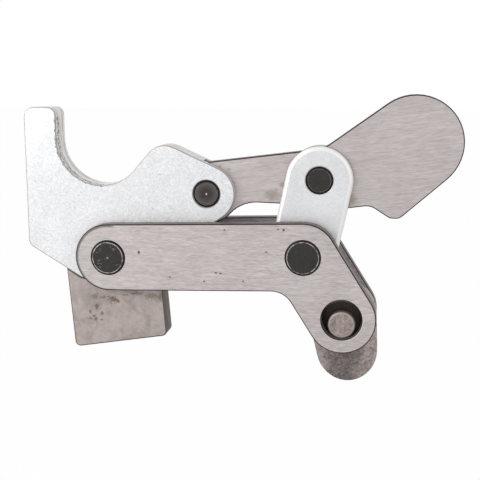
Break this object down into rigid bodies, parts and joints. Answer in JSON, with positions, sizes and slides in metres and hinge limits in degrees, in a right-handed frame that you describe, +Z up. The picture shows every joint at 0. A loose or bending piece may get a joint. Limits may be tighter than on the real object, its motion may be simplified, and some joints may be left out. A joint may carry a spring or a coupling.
{
  "type": "hold-down clamp",
  "caption": "Weld-on toggle hold-down clamp of flat steel plates: a notched hook base, a dog-leg arm pressed down by a lever and links, and a nose at its end.",
  "frame": {"origin": "middle of the weld block's sole, in the middle plane of the clamp", "axes": "+X along the clamp from the hook to the lever's paddle, +Z up along the hook's post, -Y towards the front plates"},
  "size_m": [0.1929, 0.0256, 0.1258],
  "materials": {
    "zinc_plate": "bright zinc plating over flame-cut steel",
    "ground_steel": "ground steel with a fine lengthwise grain",
    "black_pin": "blackened, hardened steel",
    "sawn_steel": "raw steel with small rust spots",
    "dull_steel": "rough dark steel",
    "bronze_bush": "plain bearing bronze"
  },
  "bodies": {
    "base": {"hook_cheek_front": "zinc_plate", "hook_cheek_rear": "zinc_plate", "hook_core": "zinc_plate", "weld_block": "sawn_steel", "main_pin": "black_pin", "handle_pin": "black_pin"},
    "arm": {"side_plate_front": "ground_steel", "side_plate_rear": "ground_steel", "link_pin": "black_pin", "link_spacer": "sawn_steel"},
    "lever": {"lever": "ground_steel", "lever_bush_handle": "bronze_bush", "lever_bush_toggle": "bronze_bush", "toggle_pin": "black_pin"},
    "links": {"link_plate_front": "zinc_plate", "link_plate_rear": "zinc_plate"},
    "nose": {"nose": "dull_steel", "nose_pin": "sawn_steel"}
  },
  "joints": [
    {"name": "arm_swing", "type": "hinge", "parent": "base", "child": "arm", "pos_m": [-0.0031, 0, 0.0406], "axis": [0, -1, 0], "range_deg": [-26, 6]},
    {"name": "lever_swing", "type": "hinge", "parent": "base", "child": "lever", "pos_m": [0.0406, 0, 0.0693], "axis": [0, -1, 0], "range_deg": [-45.45, 10.72]},
    {"name": "link_swing", "type": "hinge", "parent": "lever", "child": "links", "pos_m": [0.0901, 0, 0.0761], "axis": [0, -1, 0], "range_deg": [-11.14, 47.26]},
    {"name": "nose_tilt", "type": "hinge", "parent": "arm", "child": "nose", "pos_m": [0.101, 0, 0.01345], "axis": [0, -1, 0], "range_deg": [-10, 10]}
  ],
  "couplings": [
    {"joint": "lever_swing", "follows": "arm_swing", "ratio": 1.7366},
    {"joint": "link_swing", "follows": "arm_swing", "ratio": -1.806}
  ]
}
